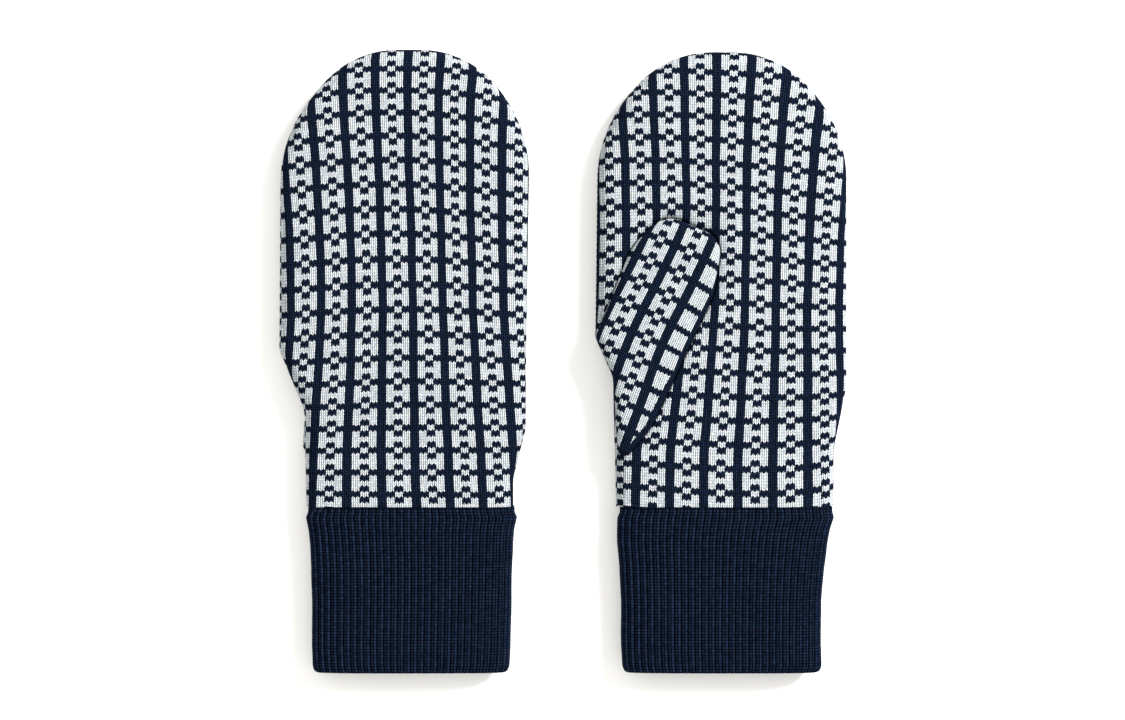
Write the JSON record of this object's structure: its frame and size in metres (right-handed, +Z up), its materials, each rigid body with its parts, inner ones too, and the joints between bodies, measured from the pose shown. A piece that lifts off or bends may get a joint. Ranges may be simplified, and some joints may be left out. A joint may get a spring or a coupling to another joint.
{
  "type": "knitted mittens",
  "caption": "Soft knitted hand covers with folded thumbs and ribbed cuffs, laid flat side by side, one palm up and one back up.",
  "frame": {"origin": "bottom centre of the pair's bounding box, on the surface that the mittens lie on", "axes": "+X across the pair from the right-hand mitten to the left-hand mitten, +Y from the cuffs to the fingertips, +Z up"},
  "size_m": [0.2548, 0.28, 0.02],
  "materials": {
    "jacquard_knit": "two-colour jacquard knit, navy and pale grey",
    "navy_rib": "one by one rib in navy wool",
    "lining_jersey": "plain dark jersey",
    "seam_thread": "navy seam yarn"
  },
  "bodies": {
    "left_hand": {"left_back_panel": "jacquard_knit", "left_palm_panel": "jacquard_knit", "left_hand_side_seam": "seam_thread", "left_hand_lining": "lining_jersey", "left_cuff_seam": "seam_thread", "left_thumb_base_seam": "seam_thread"},
    "left_thumb": {"left_thumb_front_panel": "jacquard_knit", "left_thumb_rear_panel": "jacquard_knit", "left_thumb_side_seam": "seam_thread", "left_thumb_lining": "lining_jersey"},
    "left_cuff": {"left_rib_cuff": "navy_rib"},
    "right_hand": {"right_back_panel": "jacquard_knit", "right_palm_panel": "jacquard_knit", "right_hand_side_seam": "seam_thread", "right_hand_lining": "lining_jersey", "right_cuff_seam": "seam_thread", "right_thumb_base_seam": "seam_thread"},
    "right_thumb": {"right_thumb_front_panel": "jacquard_knit", "right_thumb_rear_panel": "jacquard_knit", "right_thumb_side_seam": "seam_thread", "right_thumb_lining": "lining_jersey"},
    "right_cuff": {"right_rib_cuff": "navy_rib"}
  },
  "joints": [
    {"name": "left_thumb_fold", "type": "hinge", "parent": "left_hand", "child": "left_thumb", "pos_m": [0.024, -0.0471, 0.0114], "axis": [0.1639, -0.9865, 0], "range_deg": [0, 135]},
    {"name": "left_cuff_fold", "type": "hinge", "parent": "left_hand", "child": "left_cuff", "pos_m": [0.0729, -0.06725, 0.02], "axis": [-1, 0, 0], "range_deg": [0, 70]},
    {"name": "right_hand_lift", "type": "slide", "parent": "left_hand", "child": "right_hand", "axis": [0, 0, 1], "range_m": [0, 0.12]},
    {"name": "right_thumb_fold", "type": "hinge", "parent": "right_hand", "child": "right_thumb", "pos_m": [-0.1184, -0.0471, 0.0086], "axis": [-0.1639, 0.9865, 0], "range_deg": [0, 175]},
    {"name": "right_cuff_fold", "type": "hinge", "parent": "right_hand", "child": "right_cuff", "pos_m": [-0.0695, -0.06725, 0.02], "axis": [-1, 0, 0], "range_deg": [0, 70]}
  ]
}
